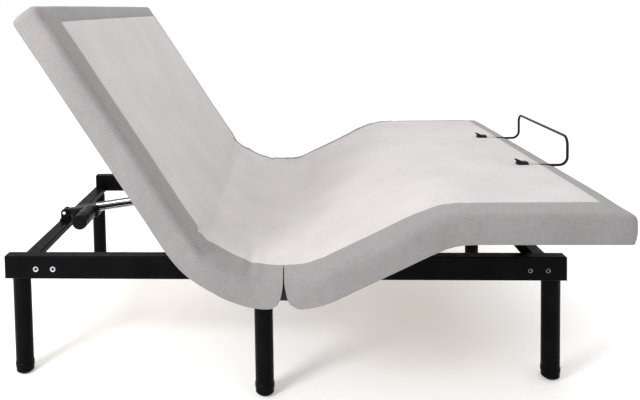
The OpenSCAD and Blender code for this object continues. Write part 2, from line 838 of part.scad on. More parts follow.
foot_support_arms();
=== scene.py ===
import json
import math
import bmesh
import bpy
from mathutils import Matrix, Vector, noise


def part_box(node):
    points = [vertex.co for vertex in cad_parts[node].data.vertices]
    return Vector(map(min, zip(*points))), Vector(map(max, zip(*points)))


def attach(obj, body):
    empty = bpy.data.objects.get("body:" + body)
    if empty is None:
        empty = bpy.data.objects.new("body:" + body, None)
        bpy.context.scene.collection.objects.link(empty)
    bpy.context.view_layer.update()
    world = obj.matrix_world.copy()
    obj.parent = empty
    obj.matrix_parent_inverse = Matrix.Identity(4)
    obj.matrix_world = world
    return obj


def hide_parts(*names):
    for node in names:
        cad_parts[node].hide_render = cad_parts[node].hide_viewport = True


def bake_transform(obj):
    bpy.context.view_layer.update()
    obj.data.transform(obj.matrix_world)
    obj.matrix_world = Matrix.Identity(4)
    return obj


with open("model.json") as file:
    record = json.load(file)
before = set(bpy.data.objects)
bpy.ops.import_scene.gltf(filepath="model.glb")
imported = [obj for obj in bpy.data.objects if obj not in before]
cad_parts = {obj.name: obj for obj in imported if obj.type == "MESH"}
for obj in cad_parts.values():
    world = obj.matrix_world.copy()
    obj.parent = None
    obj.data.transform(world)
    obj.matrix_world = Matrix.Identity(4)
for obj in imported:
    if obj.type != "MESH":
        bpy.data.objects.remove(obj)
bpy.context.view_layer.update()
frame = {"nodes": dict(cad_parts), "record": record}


def newMaterial(name):
    mat = bpy.data.materials.new(name)
    mat.use_nodes = True
    tree = mat.node_tree
    tree.nodes.clear()
    out = tree.nodes.new("ShaderNodeOutputMaterial")
    bsdf = tree.nodes.new("ShaderNodeBsdfPrincipled")
    tree.links.new(bsdf.outputs[0], out.inputs[0])
    return mat, tree, bsdf


def addNode(tree, kind, **values):
    node = tree.nodes.new("ShaderNode" + kind)
    for key, value in values.items():
        if hasattr(node, key):
            setattr(node, key, value)
        else:
            node.inputs[key.replace("_", " ")].default_value = value
    return node


def mathNode(tree, operation, a, b=None, c=None):
    node = tree.nodes.new("ShaderNodeMath")
    node.operation = operation
    for index, item in enumerate((a, b, c)):
        if item is None:
            continue
        if isinstance(item, (int, float)):
            node.inputs[index].default_value = item
        else:
            tree.links.new(item, node.inputs[index])
    return node.outputs[0]


def scaledPoint(tree, vector, scale):
    mapping = tree.nodes.new("ShaderNodeMapping")
    mapping.inputs["Scale"].default_value = scale
    tree.links.new(vector, mapping.inputs["Vector"])
    return mapping.outputs[0]


def objectPoint(tree, scale=(1, 1, 1)):
    coord = tree.nodes.new("ShaderNodeTexCoord")
    return scaledPoint(tree, coord.outputs["Object"], scale)


def noiseAt(tree, vector, scale, detail=3.0, roughness=0.55):
    node = addNode(tree, "TexNoise", Scale=scale, Detail=detail, Roughness=roughness)
    tree.links.new(vector, node.inputs["Vector"])
    return node.outputs["Fac"]


def spread(tree, value, low, high, fromLow=0.3, fromHigh=0.7):
    node = tree.nodes.new("ShaderNodeMapRange")
    tree.links.new(value, node.inputs["Value"])
    node.inputs["From Min"].default_value = fromLow
    node.inputs["From Max"].default_value = fromHigh
    node.inputs["To Min"].default_value = low
    node.inputs["To Max"].default_value = high
    return node.outputs[0]


def mixColours(tree, factor, first, second):
    node = tree.nodes.new("ShaderNodeMix")
    node.data_type = "RGBA"
    tree.links.new(factor, node.inputs[0])
    for index, item in ((6, first), (7, second)):
        if isinstance(item, tuple):
            node.inputs[index].default_value = (*item, 1)
        else:
            tree.links.new(item, node.inputs[index])
    return node.outputs[2]


def addBump(tree, bsdf, height, distance, strength):
    node = tree.nodes.new("ShaderNodeBump")
    node.inputs["Strength"].default_value = strength
    node.inputs["Distance"].default_value = distance
    tree.links.new(height, node.inputs["Height"])
    tree.links.new(node.outputs[0], bsdf.inputs["Normal"])


def waves(tree, value, pitch):
    return mathNode(tree, "SINE", mathNode(tree, "MULTIPLY", value, math.tau / pitch))


cloth = {
    "thread": 0.0021, "yarnScale": (30, 420, 1), "crossScale": (420, 30, 1), "slubScale": 260,
    "cloudScale": 5.0, "yarnShare": 0.34, "slubShare": 0.32, "yarnTone": 0.55, "paleTone": 0.1,
    "gapShade": 0.22, "gapDark": 0.6,
    "sheen": 0.25, "sheenRoughness": 0.5, "specular": 0.25,
    "threadHeight": 0.5, "yarnHeight": 0.7, "waffleHeight": 0.5, "bumpDepth": 0.0008, "bumpStrength": 0.7,
}


def wovenCloth(name, light, dark, wafflePitch, contrast, clouding):
    # plain weave with a faint waffle, on the piece's own unrolled map in metres
    mat, tree, bsdf = newMaterial(name)
    uv = tree.nodes.new("ShaderNodeUVMap")
    uv.uv_map = "cloth"
    flat = uv.outputs[0]
    split = tree.nodes.new("ShaderNodeSeparateXYZ")
    tree.links.new(flat, split.inputs[0])
    along, across = split.outputs[0], split.outputs[1]
    warp = waves(tree, along, cloth["thread"])
    weft = waves(tree, across, cloth["thread"])
    weave = mathNode(tree, "MULTIPLY_ADD", mathNode(tree, "MULTIPLY", warp, weft), 0.5, 0.5)
    waffle = mathNode(tree, "MULTIPLY", waves(tree, along, wafflePitch), waves(tree, across, wafflePitch))
    slub = noiseAt(tree, flat, cloth["slubScale"], 2.0)
    yarn = noiseAt(tree, scaledPoint(tree, flat, cloth["yarnScale"]), 1.0, 3.0)
    crossYarn = noiseAt(tree, scaledPoint(tree, flat, cloth["crossScale"]), 1.0, 3.0)
    cloud = noiseAt(tree, flat, cloth["cloudScale"], 3.0)
    yarns = mathNode(tree, "MULTIPLY", mathNode(tree, "ADD", yarn, crossYarn), cloth["yarnShare"])
    melange = mathNode(tree, "MULTIPLY_ADD", slub, cloth["slubShare"], yarns)
    tone = mathNode(tree, "ADD", spread(tree, melange, 0.0, cloth["yarnTone"], 0.36, 0.64),
                    spread(tree, cloud, cloth["paleTone"], cloth["paleTone"] + clouding))
    tone = mathNode(tree, "MULTIPLY_ADD", waffle, contrast, tone)
    colour = mixColours(tree, tone, dark, light)
    gaps = mathNode(tree, "MULTIPLY", mathNode(tree, "SUBTRACT", 1.0, weave), cloth["gapShade"])
    shaded = mixColours(tree, gaps, colour, tuple(cloth["gapDark"] * c for c in dark))
    tree.links.new(shaded, bsdf.inputs["Base Color"])
    tree.links.new(spread(tree, melange, 0.82, 0.95), bsdf.inputs["Roughness"])
    bsdf.inputs["Sheen Weight"].default_value = cloth["sheen"]
    bsdf.inputs["Sheen Roughness"].default_value = cloth["sheenRoughness"]
    bsdf.inputs["Specular IOR Level"].default_value = cloth["specular"]
    height = mathNode(tree, "MULTIPLY", weave, cloth["threadHeight"])
    height = mathNode(tree, "MULTIPLY_ADD", melange, cloth["yarnHeight"], height)
    height = mathNode(tree, "MULTIPLY_ADD", waffle, cloth["waffleHeight"], height)
    addBump(tree, bsdf, height, cloth["bumpDepth"], cloth["bumpStrength"])
    return mat


def coatedSteel(name, colour, roughness, grain, depth, shine):
    mat, tree, bsdf = newMaterial(name)
    at = objectPoint(tree)
    cloud = noiseAt(tree, at, 9, 4)
    fine = noiseAt(tree, at, grain, 2)
    dust = noiseAt(tree, at, 42, 5)
    paler = tuple(min(1, c * 1.7 + 0.0008) for c in colour)
    tree.links.new(mixColours(tree, spread(tree, cloud, 0, 1), colour, paler), bsdf.inputs["Base Color"])
    tree.links.new(spread(tree, dust, roughness - 0.07, roughness + 0.1), bsdf.inputs["Roughness"])
    bsdf.inputs["Specular IOR Level"].default_value = shine
    addBump(tree, bsdf, fine, depth, 0.5)
    return mat


def bareMetal(name, colour, roughness, streaks):
    mat, tree, bsdf = newMaterial(name)
    lines = noiseAt(tree, objectPoint(tree, streaks), 1.0, 3)
    cloud = noiseAt(tree, objectPoint(tree), 30, 4)
    duller = tuple(c * 0.72 for c in colour)
    tree.links.new(mixColours(tree, spread(tree, cloud, 0, 1), duller, colour), bsdf.inputs["Base Color"])
    bsdf.inputs["Metallic"].default_value = 1.0
    rough = mathNode(tree, "ADD", spread(tree, lines, roughness - 0.08, roughness + 0.06),
                     spread(tree, cloud, 0.0, 0.08))
    tree.links.new(rough, bsdf.inputs["Roughness"])
    addBump(tree, bsdf, lines, 0.00008, 0.4)
    return mat


def mouldedPlastic(name, colour, roughness):
    mat, tree, bsdf = newMaterial(name)
    at = objectPoint(tree)
    cloud = noiseAt(tree, at, 14, 3)
    pits = tree.nodes.new("ShaderNodeTexVoronoi")
    pits.inputs["Scale"].default_value = 1400
    tree.links.new(at, pits.inputs["Vector"])
    paler = tuple(min(1, c * 1.5 + 0.003) for c in colour)
    tree.links.new(mixColours(tree, spread(tree, cloud, 0, 1), colour, paler), bsdf.inputs["Base Color"])
    tree.links.new(spread(tree, cloud, roughness - 0.06, roughness + 0.08), bsdf.inputs["Roughness"])
    bsdf.inputs["Specular IOR Level"].default_value = 0.15
    addBump(tree, bsdf, pits.outputs["Distance"], 0.0001, 0.35)
    return mat


birch = {
    "pale": (0.60, 0.43, 0.25), "ring": (0.42, 0.27, 0.14), "pore": (0.24, 0.14, 0.07),
    "cloud": (0.66, 0.5, 0.32),
    "ringScale": (3, 26, 26), "poreScale": (40, 700, 700),
}


def birchPly():
    mat, tree, bsdf = newMaterial("birchPly")
    rings = noiseAt(tree, objectPoint(tree, birch["ringScale"]), 1.6, 6, 0.6)
    pores = noiseAt(tree, objectPoint(tree, birch["poreScale"]), 1.0, 3)
    cloud = noiseAt(tree, objectPoint(tree), 4, 3)
    colour = mixColours(tree, spread(tree, rings, 0, 1, 0.35, 0.65), birch["pale"], birch["ring"])
    colour = mixColours(tree, spread(tree, pores, 0, 0.45, 0.5, 0.8), colour, birch["pore"])
    colour = mixColours(tree, spread(tree, cloud, 0, 0.35), colour, birch["cloud"])
    tree.links.new(colour, bsdf.inputs["Base Color"])
    tree.links.new(spread(tree, rings, 0.6, 0.78), bsdf.inputs["Roughness"])
    addBump(tree, bsdf, pores, 0.00025, 0.5)
    return mat


def feltLining():
    mat, tree, bsdf = newMaterial("feltLining")
    at = objectPoint(tree)
    fibres = noiseAt(tree, at, 700, 4, 0.7)
    cloud = noiseAt(tree, at, 20, 3)
    tree.links.new(mixColours(tree, spread(tree, cloud, 0, 1), (0.012, 0.012, 0.013), (0.03, 0.03, 0.032)),
                   bsdf.inputs["Base Color"])
    tree.links.new(spread(tree, fibres, 0.85, 0.98), bsdf.inputs["Roughness"])
    bsdf.inputs["Sheen Weight"].default_value = 0.2
    addBump(tree, bsdf, fibres, 0.0005, 0.6)
    return mat


paleCloth = wovenCloth("paleCloth", (0.62, 0.590, 0.582), (0.43, 0.405, 0.398), 0.0046, 0.35, 0.35)
greyCloth = wovenCloth("greyCloth", (0.32, 0.301, 0.304), (0.165, 0.154, 0.156), 0.0058, 0.55, 0.25)
satinBlack = coatedSteel("satinBlack", (0.0020, 0.0020, 0.0023), 0.36, 900, 0.00012, 0.025)
legBlack = coatedSteel("legBlack", (0.0020, 0.0020, 0.0022), 0.28, 500, 0.00008, 0.03)
barBlack = coatedSteel("barBlack", (0.004, 0.004, 0.0045), 0.33, 1200, 0.00006, 0.15)
motorBlack = coatedSteel("motorBlack", (0.003, 0.003, 0.0034), 0.34, 700, 0.0001, 0.08)
zincPlate = bareMetal("zincPlate", (0.62, 0.63, 0.65), 0.34, (220, 220, 220))
turnedSteel = bareMetal("turnedSteel", (0.78, 0.79, 0.80), 0.22, (40, 900, 900))
castAluminium = bareMetal("castAluminium", (0.74, 0.75, 0.77), 0.36, (10, 700, 700))
blackPlastic = mouldedPlastic("blackPlastic", (0.005, 0.005, 0.0055), 0.5)
glidePlastic = mouldedPlastic("glidePlastic", (0.045, 0.045, 0.047), 0.6)
whiteNylon = mouldedPlastic("whiteNylon", (0.68, 0.68, 0.65), 0.42)
ply = birchPly()
lining = feltLining()
print("finishes made")

# the hinges' middles, and the deck's own sizes
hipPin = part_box("seat_hinge_pins")
knuckleRadius = 0.004
hipPoint = Vector((hipPin[0].x + knuckleRadius, 0, hipPin[0].z + knuckleRadius))
thighPoint = Vector((hipPin[1].x - knuckleRadius, 0, hipPoint.z))
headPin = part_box("head_hinge_pins")
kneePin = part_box("knee_hinge_pins")
headPoint = Vector(((headPin[0].x + headPin[1].x) / 2, 0, (headPin[0].z + headPin[1].z) / 2))
kneePoint = Vector(((kneePin[0].x + kneePin[1].x) / 2, 0, (kneePin[0].z + kneePin[1].z) / 2))
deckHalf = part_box("seat_pad")[1].y
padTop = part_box("seat_pad")[1].z - hipPoint.z
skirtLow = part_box("seat_side_panels")[0].z - hipPoint.z
headAngle = 2 * math.atan2(headPoint.z - hipPoint.z, hipPoint.x - headPoint.x)
thighAngle = math.atan2(kneePoint.z - thighPoint.z, kneePoint.x - thighPoint.x)
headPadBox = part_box("head_pad")
headLength = ((headPadBox[1].z - headPoint.z) - padTop * math.cos(headAngle)) / math.sin(headAngle)
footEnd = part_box("foot_pad")[1].x
footLength = footEnd - kneePoint.x

# straight lengths between the hinges, from the head end to the foot end
stops = [0.0, headLength]
stops.append(stops[-1] + (hipPoint - headPoint).length)
stops.append(stops[-1] + (thighPoint - hipPoint).length)
stops.append(stops[-1] + (kneePoint - thighPoint).length)
stops.append(stops[-1] + footLength)
slopes = [-headAngle, -headAngle / 2, 0.0, thighAngle, 0.0]  # rise of each section towards the foot
# length of each bend on both sides of its hinge, at the panel and at the hem
bends = {"head": (0.030, 0.078), "hip": (0.084, 0.078), "thigh": (0.084, 0.066), "knee": (0.105, 0.090)}
bendReach = [max(pair) for pair in bends.values()]
bendSteps = 48
corners = [Vector((headPoint.x - headLength * math.cos(headAngle),
                   headPoint.z + headLength * math.sin(headAngle)))]
corners += [Vector((p.x, p.z)) for p in (headPoint, hipPoint, thighPoint, kneePoint)]
corners.append(Vector((footEnd, kneePoint.z)))


def clamped(value):
    return max(0.0, min(1.0, value))


def easeCurve(angle):
    # places and headings along a bend that turns smoothly by angle, scaled to a tangent length of 1
    step = 2.0 / bendSteps
    x = z = 0.0
    points = [(0.0, 0.0, 0.0)]
    for i in range(bendSteps):
        middle = (i + 0.5) / bendSteps
        heading = angle * middle * middle * (3 - 2 * middle)
        x += step * math.cos(heading)
        z += step * math.sin(heading)
        end = (i + 1) / bendSteps
        points.append((x, z, angle * end * end * (3 - 2 * end)))
    scale = 2 * math.cos(angle / 2) / math.hypot(x, z)
    return [(px * scale, pz * scale, heading) for px, pz, heading in points]


bendCurves = [easeCurve(slopes[k + 1] - slopes[k]) for k in range(4)]


def deckAt(s, h):
    # place and slope of the board's middle plane at s along the deck, for cloth at the height h
    low = clamped((padTop - h) / (padTop - skirtLow))
    for k, (atPanel, atHem) in enumerate(bends.values()):
        reach = atPanel * (1 - low) + atHem * low
        if abs(s - stops[k + 1]) < reach:
            along = (s - stops[k + 1] + reach) / (2 * reach) * bendSteps
            i = min(bendSteps - 1, int(along))
            past = along - i
            before, after = bendCurves[k][i], bendCurves[k][i + 1]
            px, pz, heading = (a * (1 - past) + b * past for a, b in zip(before, after))
            base = slopes[k]
            ahead = Vector((math.cos(base), math.sin(base)))
            upward = Vector((-math.sin(base), math.cos(base)))
            return corners[k + 1] + (ahead * (px - 1) + upward * pz) * reach, base + heading
    k = max(i for i in range(5) if s >= stops[i] or i == 0)
    return corners[k] + Vector((math.cos(slopes[k]), math.sin(slopes[k]))) * (s - stops[k]), slopes[k]


def onDeck(s, y, h):
    place, slope = deckAt(s, h)
    return Vector((place.x - h * math.sin(slope), y, place.y + h * math.cos(slope)))


def finishMesh(name, bm, materials, smooth=True, body=None):
    mesh = bpy.data.meshes.new(name)
    bm.to_mesh(mesh)
    bm.free()
    obj = bpy.data.objects.new(name, mesh)
    bpy.context.scene.collection.objects.link(obj)
    for mat in materials:
        mesh.materials.append(mat)
    if smooth is not None:
        for poly in mesh.polygons:
            poly.use_smooth = smooth
    if body:
        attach(obj, body)
    return obj


def roundedBox(bm, low, high, radius, segments=3):
    # box with rounded edges; its flat sides stay flat-shaded
    made = bmesh.ops.create_cube(bm, size=1)["verts"]
    bmesh.ops.scale(bm, vec=[high[i] - low[i] for i in range(3)], verts=made)
    bmesh.ops.translate(bm, vec=[(high[i] + low[i]) / 2 for i in range(3)], verts=made)
    edges = list({e for v in made for e in v.link_edges})
    sides = {f for v in made for f in v.link_faces}
    result = bmesh.ops.bevel(bm, geom=edges, offset=radius, segments=segments, profile=0.5,
                             affect="EDGES", material=-1)
    faces = set(result["faces"]) | {f for f in sides if f.is_valid}
    for f in faces:
        f.smooth = max(abs(c) for c in f.normal) < 0.9999
    return faces


spinTurns = {"Z": 0.0, "Y": -math.pi / 2, "-Y": math.pi / 2}
creaseAngle = math.radians(32)


def spun(bm, outline, centre, axis, steps):
    # spins an outline of (radius, height) pairs about an axis through the centre
    before = set(bm.verts)
    verts = [bm.verts.new((r, 0, z)) for r, z in outline]
    edges = [bm.edges.new((a, b)) for a, b in zip(verts, verts[1:])]
    bmesh.ops.spin(bm, geom=verts + edges, cent=(0, 0, 0), axis=(0, 0, 1), angle=math.tau, steps=steps,
                   use_merge=True)
    made = [v for v in bm.verts if v not in before]
    bmesh.ops.remove_doubles(bm, verts=made, dist=1e-6)
    made = [v for v in bm.verts if v not in before]
    turn = Matrix.Rotation(spinTurns[axis], 4, "X")
    bmesh.ops.transform(bm, matrix=Matrix.Translation(centre) @ turn, verts=made)
    faces = {f for v in made for f in v.link_faces}
    bmesh.ops.recalc_face_normals(bm, faces=list(faces))
    for e in {e for v in made for e in v.link_edges}:
        if len(e.link_faces) == 2 and e.calc_face_angle(0) > creaseAngle:
            e.smooth = False
    for f in faces:
        f.smooth = True
    return faces


def solidsOf(node):
    # corners of the box around each separate solid of a CAD node, from the head end to the foot end
    obj = frame["nodes"][node]
    bm = bmesh.new()
    bm.from_mesh(obj.data)
    bm.transform(obj.matrix_world)
    bmesh.ops.remove_doubles(bm, verts=bm.verts, dist=1e-6)
    left = set(bm.verts)
    boxes = []
    while left:
        group, edge = [], [left.pop()]
        while edge:
            v = edge.pop()
            group.append(v.co)
            for e in v.link_edges:
                w = e.other_vert(v)
                if w in left:
                    left.discard(w)
                    edge.append(w)
        boxes.append((Vector([min(c[i] for c in group) for i in range(3)]),
                      Vector([max(c[i] for c in group) for i in range(3)])))
    bm.free()
    return sorted(boxes, key=lambda box: (round(box[0].x, 4), round(box[0].y, 4)))


bodyOf = {node: body for body, nodes in frame["record"]["behaviour"]["bodies"].items() for node in nodes}
jointOf = {joint["name"]: joint for joint in frame["record"]["behaviour"]["joints"]}


def replacing(name, bm, materials, nodes):
    obj = finishMesh(name, bm, materials, None, bodyOf[nodes[0]])
    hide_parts(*nodes)


cover = {
    "wall": 0.0090, "edgeRadius": 0.016, "cornerRadius": 0.026, "endRound": 0.018,
    "borderSide": 0.105, "borderHead": 0.064, "borderFoot": 0.054,
    "rightDrop": 0.0095, "leftDrop": 0.0190, "endDrop": 0.0105, "panelRise": 0.0065, "crown": 0.0025,
    "ridge": 0.0018, "ridgeAt": 0.84, "ridgeWidth": 0.12, "seamWidth": 0.0045, "seamDepth": 0.0024,
    "cellLong": 0.020, "cellWide": 0.040, "cellBorder": 0.026, "cellHigh": 0.012, "bendCells": 24,
    "ripple": 0.0012, "leftFold": 0.0065, "rightFold": 0.0030, "bendSpread": 1.1, "bendWave": 0.0030,
    "sideBulge": 0.003, "sideWave": 0.0014, "endBulge": 0.0025, "endWave": 0.001,
    "topBand": 0.004, "edgeBand": 0.006, "wallSlack": 0.004,
}
rippleRate = {
    "broad": (7, 7, 0), "fine": (23, 19, 0), "fold": (34, 5, 0), "side": (9, 3, 22), "bend": (30, 16, 1),
    "end": (8, 20, 0),
}
# a small pleat across the border, just above the head hinge
dart = {"above": 0.040, "lean": 0.025, "width": 0.008, "depth": 0.0085, "start": 0.01, "fade": 1.3}
# the open split in the border, a little past the middle of the seat strip
splitAt = {
    "start": (stops[2] + stops[3]) / 2 + 0.0095, "reach": 0.075, "topGap": 0.0016, "lowGap": 0.019,
    "cornerRadius": 0.024, "fadeIn": 0.03, "cuts": (0.006, 0.014, 0.024, 0.036, 0.05),
}
seamY = deckHalf - cover["borderSide"]


def cutAcross(bm, axis, value):
    normal = [0, 0, 0]
    normal[axis] = 1
    point = [0, 0, 0]
    point[axis] = value
    bmesh.ops.bisect_plane(bm, geom=bm.verts[:] + bm.edges[:] + bm.faces[:], dist=1e-5,
                           plane_co=point, plane_no=normal)


def openBox(start, end, headClosed, footClosed):
    # flat tray, upside down: lies along s, across y, and h is the height over the board's middle
    bm = bmesh.new()
    made = bmesh.ops.create_cube(bm, size=1)["verts"]
    bmesh.ops.scale(bm, vec=(end - start, 2 * deckHalf, padTop - skirtLow), verts=made)
    bmesh.ops.translate(bm, vec=((start + end) / 2, 0, (padTop + skirtLow) / 2), verts=made)
    gone = [f for f in bm.faces if f.normal.z < -0.5
            or (f.normal.x < -0.5 and not headClosed) or (f.normal.x > 0.5 and not footClosed)]
    bmesh.ops.delete(bm, geom=gone, context="FACES")
    shared = [e for e in bm.edges if len(e.link_faces) == 2]
    upright = [e for e in shared if abs(e.verts[0].co.z - e.verts[1].co.z) > 0.01]
    if upright:
        bmesh.ops.bevel(bm, geom=upright, offset=cover["cornerRadius"], segments=5, profile=0.5,
                        affect="EDGES", material=-1)
    rim = [e for e in bm.edges if len(e.link_faces) == 2 and min(v.co.z for v in e.verts) > padTop - 1e-5]
    bmesh.ops.bevel(bm, geom=rim, offset=cover["edgeRadius"], segments=4, profile=0.5,
                    affect="EDGES", material=-1)
    return bm


def cutPlaces(start, end, step):
    count = max(1, round((end - start) / step))
    return [start + (end - start) * i / count for i in range(1, count)]


def layGrid(bm, start, end, hinge, splitSide, endSeams):
    # cells that are closer across the bend, along the seams and beside the split
    reach, pivot = bendReach[hinge], stops[hinge + 1]
    for s in cutPlaces(start, end, cover["cellLong"]):
        if abs(s - pivot) > reach:
            cutAcross(bm, 0, s)
    for i in range(cover["bendCells"] + 1):
        s = pivot - reach + 2 * reach * i / cover["bendCells"]
        if start < s < end:
            cutAcross(bm, 0, s)
    if splitSide:
        for distance in splitAt["cuts"]:
            cutAcross(bm, 0, splitAt["start"] - splitSide * distance)
    half = cover["seamWidth"] / 2
    border = cutPlaces(seamY + half, deckHalf - cover["edgeRadius"], cover["cellBorder"])
    lines = [-seamY - half, -seamY, -seamY + half, seamY - half, seamY, seamY + half]
    lines += cutPlaces(-seamY + half, seamY - half, cover["cellWide"])
    lines += border
    lines += [-y for y in border]
    for y in lines:
        cutAcross(bm, 1, y)
    for s in endSeams:
        for d in (-half, 0, half):
            cutAcross(bm, 0, s + d)
    for h in cutPlaces(skirtLow, padTop - cover["edgeRadius"], cover["cellHigh"]):
        cutAcross(bm, 2, h)


def unrollCloth(bm):
    # the cloth's own map: the top as it lies, the sides and ends folded out beside it
    uvLayer = bm.loops.layers.uv.new("cloth")
    for f in bm.faces:
        for loop in f.loops:
            co = loop.vert.co
            drop = padTop - co.z
            if abs(f.normal.y) > 0.7:
                loop[uvLayer].uv = (co.x, math.copysign(abs(co.y) + drop, co.y))
            elif abs(f.normal.x) > 0.7:
                loop[uvLayer].uv = (co.x + math.copysign(drop, f.normal.x), co.y)
            else:
                loop[uvLayer].uv = (co.x, co.y)


def coverPiece(name, start, end, hinge, nodes, headClosed=False, footClosed=False, splitSide=0):
    bm = openBox(start, end, headClosed, footClosed)
    panelStart = start + (cover["borderHead"] if headClosed else 0.0)
    panelEnd = end - (cover["borderFoot"] if footClosed else 0.0)
    endSeams = [panelStart] * headClosed + [panelEnd] * footClosed
    layGrid(bm, start, end, hinge, splitSide, endSeams)
    for f in bm.faces:
        c = f.calc_center_median()
        onPanel = c.z > padTop - 0.001 and abs(c.y) < seamY and panelStart <= c.x <= panelEnd
        f.material_index = 0 if onPanel else 1
    unrollCloth(bm)
    bmesh.ops.recalc_face_normals(bm, faces=bm.faces)
    if sum(f.normal.z for f in bm.faces if abs(f.normal.z) > 0.9) < 0:
        bmesh.ops.reverse_faces(bm, faces=bm.faces)
    bmesh.ops.solidify(bm, geom=bm.faces[:], thickness=cover["wall"])
    for e in bm.edges:
        if len(e.link_faces) == 2 and e.calc_face_angle(0) > math.radians(50):
            e.smooth = False
    closed = [(start, 1)] * headClosed + [(end, -1)] * footClosed
    shapeCover(bm, hinge, closed, endSeams, splitSide)
    obj = finishMesh(name, bm, [paleCloth, greyCloth], True, None)
    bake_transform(obj)
    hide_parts(*nodes)
    print(name, "made,", len(obj.data.polygons), "faces")


def rippleAt(point, rate, seed=0.0):
    return noise.noise(Vector([p * r for p, r in zip(point, rate)]) + Vector((0, 0, seed)))


def borderAt(s, y, closed, endSeams):
    # how far out the place is on the side and the end borders, its drop, and its seam widths past the seam
    out = max(0.0, (abs(y) - seamY) / (deckHalf - seamY))
    drop = (cover["rightDrop"] if y < 0 else cover["leftDrop"]) * out ** 1.1
    pastSeam = abs(y) - seamY
    inEnd = 0.0
    for (place, inward), seam in zip(closed, endSeams):
        past = (seam - s) * inward
        pastSeam = max(pastSeam, past)
        if past > 0:
            inEnd = min(1.0, past / abs(seam - place))
            drop = max(drop, cover["endDrop"] * inEnd ** 1.25)
    return out, inEnd, drop, pastSeam / cover["seamWidth"]


def topFolds(s, y, puff, pastSeam, nearBend):
    # the seam's groove, the ridge by the outer edge, ripples, and short folds across the bend
    push = -cover["seamDepth"] * math.exp(-pastSeam ** 2)
    push += cover["ridge"] * math.exp(-((puff - cover["ridgeAt"]) / cover["ridgeWidth"]) ** 2)
    push += cover["ripple"] * rippleAt((s, y, 0), rippleRate["broad"], 3.1)
    push += 0.5 * cover["ripple"] * rippleAt((s, y, 0), rippleRate["fine"], 8.4)
    edge = 0.4 + 0.6 * min(1.0, abs(y) / seamY) ** 3
    fold = cover["leftFold"] if y > 0 else cover["rightFold"]
    return push + nearBend * edge * fold * rippleAt((s, y, 0), rippleRate["fold"], 5.5)


def sideSwell(s, y, h, nearBend):
    down = (padTop - h) / (padTop - skirtLow)
    swell = cover["sideBulge"] * math.sin(math.pi * down)
    swell += cover["sideWave"] * rippleAt((s, y, h), rippleRate["side"])
    return swell + nearBend * cover["bendWave"] * rippleAt((s, h, y), rippleRate["bend"])


def endSwell(y, h):
    down = (padTop - h) / (padTop - skirtLow)
    return (cover["endBulge"] * math.sin(math.pi * down)
            + cover["endWave"] * rippleAt((y, h, 0), rippleRate["end"], 2.2))


def roundCorner(s, h, inner, outward, radius):
    # takes a square lower corner onto an arc about (inner, hem + radius)
    ds, dh = (s - inner) * outward, skirtLow + radius - h
    far = math.hypot(ds, dh)
    if ds <= 0 or dh <= 0 or far < 1e-6:
        return s, h
    scale = max(ds, dh) / far
    return inner + outward * ds * scale, skirtLow + radius - dh * scale


def openSplit(s, y, h, side):
    # draws the border back from the split, most at the hem, and rounds its lower corner
    distance = abs(s - splitAt["start"])
    if distance >= splitAt["reach"] or abs(y) <= seamY:
        return s, h
    low = clamped((padTop - h) / (padTop - skirtLow))
    gap = splitAt["topGap"] * min(1.0, (abs(y) - seamY) / splitAt["fadeIn"])
    gap += (splitAt["lowGap"] - splitAt["topGap"]) * low ** 1.6
    s -= side * gap * (1 - distance / splitAt["reach"])
    inner = splitAt["start"] - side * (splitAt["lowGap"] + splitAt["cornerRadius"])
    return roundCorner(s, h, inner, side, splitAt["cornerRadius"])


def shapeCover(bm, hinge, closed, endSeams, splitSide):
    pivot, reach = stops[hinge + 1], bendReach[hinge]
    for v in bm.verts:
        s, y, h = v.co
        nearBend = math.exp(-((s - pivot) / (cover["bendSpread"] * reach)) ** 2)
        out, inEnd, drop, pastSeam = borderAt(s, y, closed, endSeams)
        inside = clamped((seamY - abs(y)) / seamY)
        rise = cover["panelRise"] + cover["crown"] * math.sin(math.pi / 2 * min(1.0, inside * 3))
        push = (rise - drop) * clamped((h - skirtLow) / (padTop - skirtLow)) ** 2
        if h > padTop - cover["topBand"]:
            puff = clamped(out) if inEnd == 0 else 0.0
            push += topFolds(s, y, puff, pastSeam, nearBend)
            if hinge == 0 and abs(y) > seamY - dart["start"]:
                place = pivot - dart["above"] - dart["lean"] * out
                depth = dart["depth"] * max(0.0, 1 - dart["fade"] * out)
                push -= depth * math.exp(-((s - place) / dart["width"]) ** 2)
        h += push
        onSkin = cover["wall"] + cover["wallSlack"]
        if abs(y) > deckHalf - onSkin and h < padTop - cover["edgeBand"]:
            y += math.copysign(sideSwell(s, y, h, nearBend), y)
        for place, inward in closed:
            if abs(s - place) < onSkin and h < padTop - cover["edgeBand"]:
                s -= inward * endSwell(y, h)
            s, h = roundCorner(s, h, place + inward * cover["endRound"], -inward, cover["endRound"])
        if splitSide:
            s, h = openSplit(s, y, h, splitSide)
        v.co = onDeck(s, y, h)


middle = {
    "lumbar": (stops[1] + stops[2]) / 2, "seat": splitAt["start"], "thigh": (stops[3] + stops[4]) / 2,
}
coverPiece("headCover", 0.0, middle["lumbar"], 0,
           ("head_pad", "head_side_panels", "head_end_panel"), headClosed=True)
coverPiece("lumbarCover", middle["lumbar"], middle["seat"], 1,
           ("lumbar_pad", "seat_pad", "seat_side_panels"), splitSide=1)
coverPiece("thighCover", middle["seat"], middle["thigh"], 2,
           ("thigh_pad",), splitSide=-1)
coverPiece("footCover", middle["thigh"], stops[5], 3,
           ("thigh_side_panels", "foot_pad", "foot_side_panels", "foot_end_panel"), footClosed=True)


boards = {"gap": 0.008, "end": 0.018, "chamfer": 0.0125, "radius": 0.0012, "wrap": 0.015}


